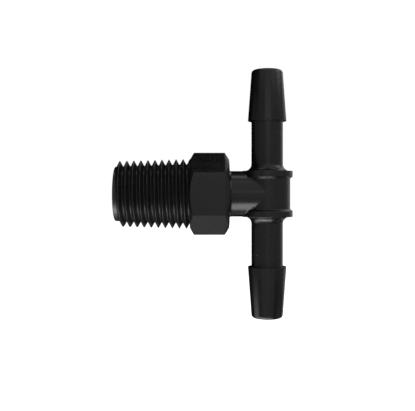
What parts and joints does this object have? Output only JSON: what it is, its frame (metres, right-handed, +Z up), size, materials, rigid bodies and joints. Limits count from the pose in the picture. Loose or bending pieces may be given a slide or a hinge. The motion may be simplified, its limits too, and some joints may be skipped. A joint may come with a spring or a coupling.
{
  "type": "barbed tee connector",
  "caption": "Plastic tee fitting with a hose barb at each end of the run, a spanner hexagon and a male taper pipe thread on the branch.",
  "frame": {"origin": "where the run's bore axis and the branch's bore axis cross", "axes": "+Z up the run towards the upper barb, -X along the branch towards the thread, and the hexagon's flats face +Y and -Y"},
  "size_m": [0.0356, 0.0142, 0.0498],
  "materials": {
    "black_nylon": "black injection-moulded nylon, semi-gloss, with faint flow marks and a fine parting line"
  },
  "bodies": {
    "root": {"pilot_nose": "black_nylon", "pipe_thread": "black_nylon", "wrench_hex": "black_nylon", "branch_neck": "black_nylon", "tee_barrel": "black_nylon", "upper_collar": "black_nylon", "lower_collar": "black_nylon", "upper_stem": "black_nylon", "lower_stem": "black_nylon", "upper_barb": "black_nylon", "lower_barb": "black_nylon"}
  },
  "joints": []
}
